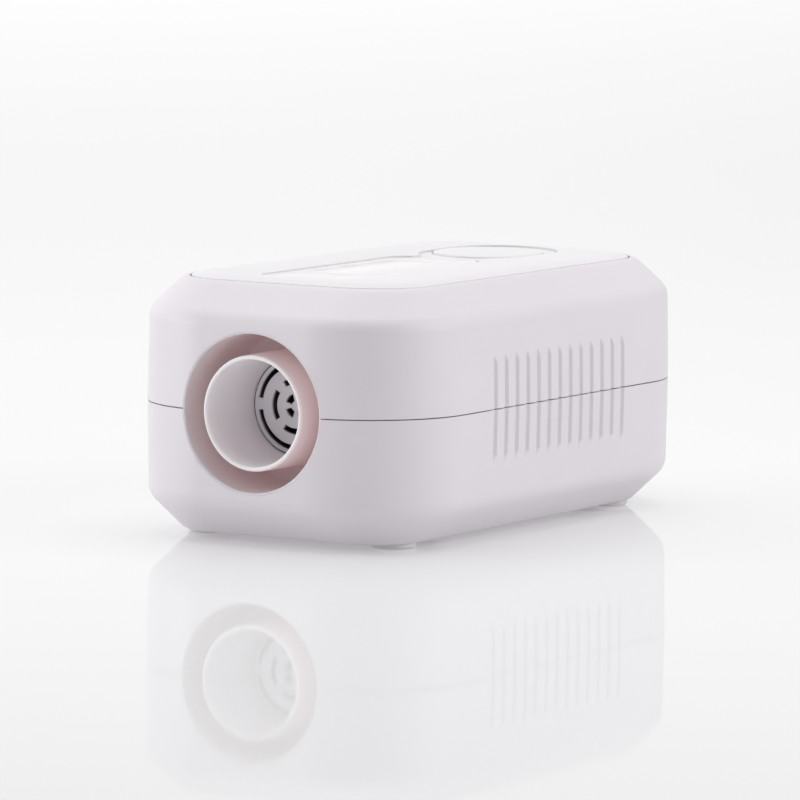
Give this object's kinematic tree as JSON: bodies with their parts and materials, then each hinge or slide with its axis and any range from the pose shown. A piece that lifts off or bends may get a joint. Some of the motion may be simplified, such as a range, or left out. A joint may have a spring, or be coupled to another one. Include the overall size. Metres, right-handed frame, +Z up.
{
  "type": "mechanical ventilator",
  "caption": "Palm-sized blower ventilator: soft-edged white case, recessed hose outlet in the front, grooved sides, display strip and press buttons on top.",
  "frame": {"origin": "on the table, under the middle of the case", "axes": "-Y out of the hose outlet, +X to the outlet's right seen from the front, +Z up"},
  "size_m": [0.067, 0.1158, 0.0503],
  "materials": {
    "case_white": "fine satin moulding",
    "deck_white": "satin",
    "overlay_white": "smooth film",
    "smoked_lens": "polished",
    "button_white": "satin",
    "port_white": "satin",
    "foot_rubber": "matt",
    "screw_steel": "bright",
    "black_plastic": "satin",
    "grey_plastic": "satin",
    "silicone": "translucent matt",
    "filter_foam": "open foam",
    "silencer": "open foam",
    "board_green": "solder mask",
    "copper": "enamelled wire",
    "magnet": "plated",
    "lamination": "rolled",
    "wire_blue": "insulated",
    "ribbon_amber": "film"
  },
  "bodies": {
    "casing": {"top_cover": "case_white", "bottom_case": "case_white", "foot_front_left": "foot_rubber", "foot_front_right": "foot_rubber", "foot_rear_left": "foot_rubber", "foot_rear_right": "foot_rubber", "case_screw_front_left": "screw_steel", "case_screw_front_right": "screw_steel", "case_screw_rear_left": "screw_steel", "case_screw_rear_right": "screw_steel", "control_deck": "deck_white", "control_overlay": "overlay_white", "display_lens": "smoked_lens", "display_module": "black_plastic", "button_board": "board_green", "front_switch": "black_plastic", "centre_switch": "black_plastic", "rear_switch": "black_plastic", "outlet_port": "port_white", "outlet_grille": "port_white", "outlet_coupling": "silicone", "blower_lower_casing": "grey_plastic", "blower_upper_casing": "grey_plastic", "lower_bearing": "screw_steel", "upper_bearing": "screw_steel", "stator_core": "lamination", "stator_windings": "copper", "motor_cap": "lamination", "blower_mount_left": "silicone", "blower_mount_right_front": "silicone", "blower_mount_right_rear": "silicone", "main_board": "board_green", "board_screw_front": "screw_steel", "board_screw_rear": "screw_steel", "processor_chip": "black_plastic", "motor_driver_chip": "black_plastic", "motor_connector": "grey_plastic", "pressure_sensor": "grey_plastic", "capacitor_left": "magnet", "capacitor_right": "magnet", "dc_socket": "black_plastic", "dc_pin": "screw_steel", "usb_socket": "screw_steel", "silencer_foam": "silencer", "pressure_tube": "silicone", "motor_cable": "wire_blue", "ribbon_cable": "ribbon_amber"},
    "front_button": {"front_button": "button_white", "front_plunger": "grey_plastic"},
    "centre_button": {"centre_button": "button_white", "centre_plunger": "grey_plastic"},
    "rear_button": {"rear_button": "button_white", "rear_plunger": "grey_plastic"},
    "rotor": {"impeller": "black_plastic", "motor_shaft": "screw_steel", "rotor_magnet": "magnet"},
    "filter_cover": {"filter_cover": "case_white", "filter_pad": "filter_foam"}
  },
  "joints": [
    {"name": "front_button_press", "type": "slide", "parent": "casing", "child": "front_button", "axis": [0, 0, -1], "range_m": [0, 0.0005], "stiffness_N_per_m": 800},
    {"name": "centre_button_press", "type": "slide", "parent": "casing", "child": "centre_button", "axis": [0, 0, -1], "range_m": [0, 0.0005], "stiffness_N_per_m": 1000},
    {"name": "rear_button_press", "type": "slide", "parent": "casing", "child": "rear_button", "axis": [0, 0, -1], "range_m": [0, 0.0005], "stiffness_N_per_m": 800},
    {"name": "rotor_spin", "type": "hinge", "parent": "casing", "child": "rotor", "pos_m": [0.0095, -0.0015, 0.03], "axis": [0, 0, 1], "continuous": true},
    {"name": "filter_cover_slide", "type": "slide", "parent": "casing", "child": "filter_cover", "axis": [0, 1, 0], "range_m": [0, 0.02]}
  ]
}
